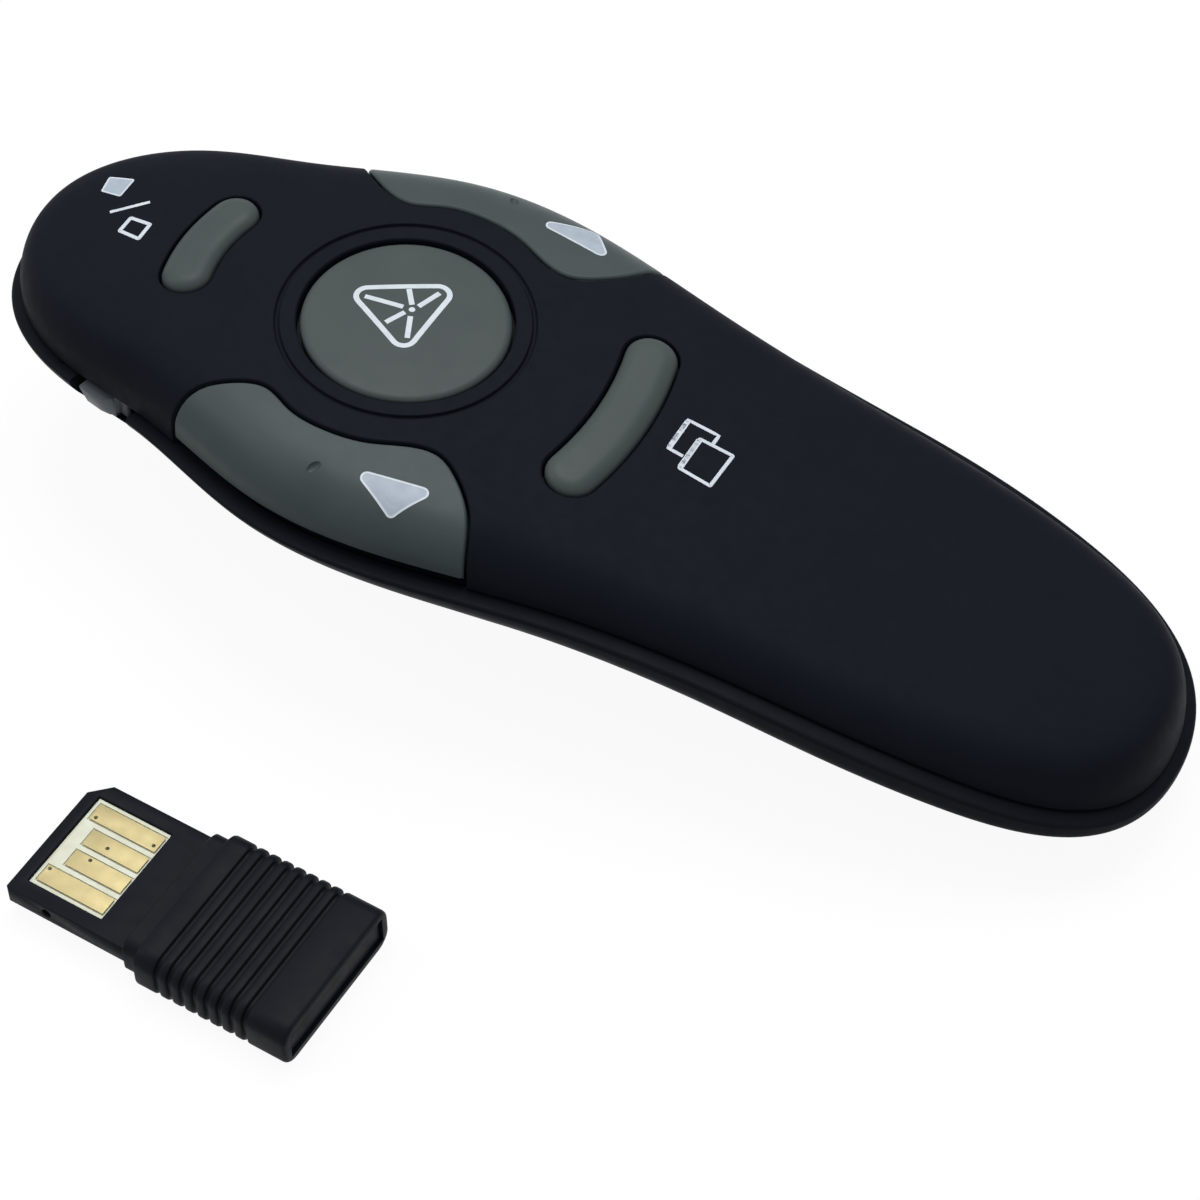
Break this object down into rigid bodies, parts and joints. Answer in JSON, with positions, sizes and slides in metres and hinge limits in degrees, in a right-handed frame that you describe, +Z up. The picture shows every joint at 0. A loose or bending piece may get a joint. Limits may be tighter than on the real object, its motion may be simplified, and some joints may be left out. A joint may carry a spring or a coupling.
{
  "type": "presentation remote with radio receiver",
  "caption": "Hand-held slide remote with a domed two-part case, round and bent keys, flank keys, laser nose, sliding battery door and a separate ribbed USB receiver.",
  "frame": {"origin": "on the resting plane, straight below the middle of the round key", "axes": "+X from nose to tail, +Z up, +Y completes a right-handed frame and points away from the receiver"},
  "size_m": [0.1047, 0.0743, 0.0235],
  "materials": {
    "top_cover": "soft-touch black",
    "bottom_cover": "satin black",
    "battery_door": "satin black",
    "crown_keys": "dark grey-green, satin",
    "page_keys": "dark grey-green, satin",
    "power_knob": "grey, satin",
    "switch_bodies": "black, satin",
    "plungers": "ivory, satin",
    "main_board": "green solder mask",
    "chips": "black, moulded",
    "crystal_cans": "nickel plated",
    "chip_parts": "sintered, tan",
    "screws": "black oxide",
    "cell_jackets": "printed sleeve, plain",
    "contacts": "nickel plated",
    "contact_springs": "nickel plated spring strip",
    "laser_barrel": "turned",
    "laser_glass": "clear",
    "laser_board": "green solder mask",
    "laser_leads": "tinned",
    "receiver_tray": "black, smooth",
    "receiver_board": "pale board",
    "receiver_pads": "gilt",
    "receiver_sleeve": "black, satin"
  },
  "bodies": {
    "housing": {"top_cover": "top_cover", "bottom_cover": "bottom_cover", "case_screws": "screws", "board_screws": "screws", "main_board": "main_board", "radio_chip": "chips", "crystal": "crystal_cans", "chip_parts": "chip_parts", "laser_switch": "switch_bodies", "blank_switch": "switch_bodies", "window_switch": "switch_bodies", "page_left_switch": "switch_bodies", "page_right_switch": "switch_bodies", "power_switch": "switch_bodies", "laser_barrel": "laser_barrel", "laser_lens": "laser_glass", "laser_window": "laser_glass", "laser_diode": "laser_board", "laser_leads": "laser_leads", "left_cell": "cell_jackets", "right_cell": "cell_jackets", "plus_contact": "contacts", "minus_contact": "contacts", "minus_spring": "contact_springs", "bridge_contact": "contacts", "bridge_spring": "contact_springs"},
    "battery_door": {"battery_door": "battery_door"},
    "power_knob": {"power_knob": "power_knob"},
    "receiver": {"receiver_tray": "receiver_tray", "receiver_board": "receiver_board", "receiver_pads": "receiver_pads", "receiver_sleeve": "receiver_sleeve", "receiver_end_cap": "receiver_sleeve", "receiver_chip": "chips", "receiver_crystal": "crystal_cans"},
    "laser_key": {"laser_key": "crown_keys", "laser_plunger": "plungers"},
    "blank_key": {"blank_key": "crown_keys", "blank_plunger": "plungers"},
    "window_key": {"window_key": "crown_keys", "window_plunger": "plungers"},
    "page_left_key": {"page_left_key": "page_keys", "page_left_plunger": "plungers"},
    "page_right_key": {"page_right_key": "page_keys", "page_right_plunger": "plungers"}
  },
  "joints": [
    {"name": "laser_press", "type": "slide", "parent": "housing", "child": "laser_key", "axis": [0, 0, -1], "range_m": [0, 0.0005], "stiffness_N_per_m": 400, "springref_m": -0.002},
    {"name": "blank_press", "type": "slide", "parent": "housing", "child": "blank_key", "axis": [0, 0, -1], "range_m": [0, 0.0005], "stiffness_N_per_m": 400, "springref_m": -0.002},
    {"name": "window_press", "type": "slide", "parent": "housing", "child": "window_key", "axis": [0, 0, -1], "range_m": [0, 0.0005], "stiffness_N_per_m": 400, "springref_m": -0.002},
    {"name": "page_left_press", "type": "slide", "parent": "housing", "child": "page_left_key", "axis": [0, 0, -1], "range_m": [0, 0.0005], "stiffness_N_per_m": 400, "springref_m": -0.002},
    {"name": "page_right_press", "type": "slide", "parent": "housing", "child": "page_right_key", "axis": [0, 0, -1], "range_m": [0, 0.0005], "stiffness_N_per_m": 400, "springref_m": -0.002},
    {"name": "power_slide", "type": "slide", "parent": "housing", "child": "power_knob", "axis": [0.97, -0.2433, 0], "range_m": [0, 0.0024]},
    {"name": "door_slide", "type": "slide", "parent": "housing", "child": "battery_door", "axis": [1, 0, 0], "range_m": [0, 0.055]},
    {"name": "receiver_lift", "type": "slide", "parent": "housing", "child": "receiver", "axis": [0, 0, 1], "range_m": [0, 0.05]}
  ]
}
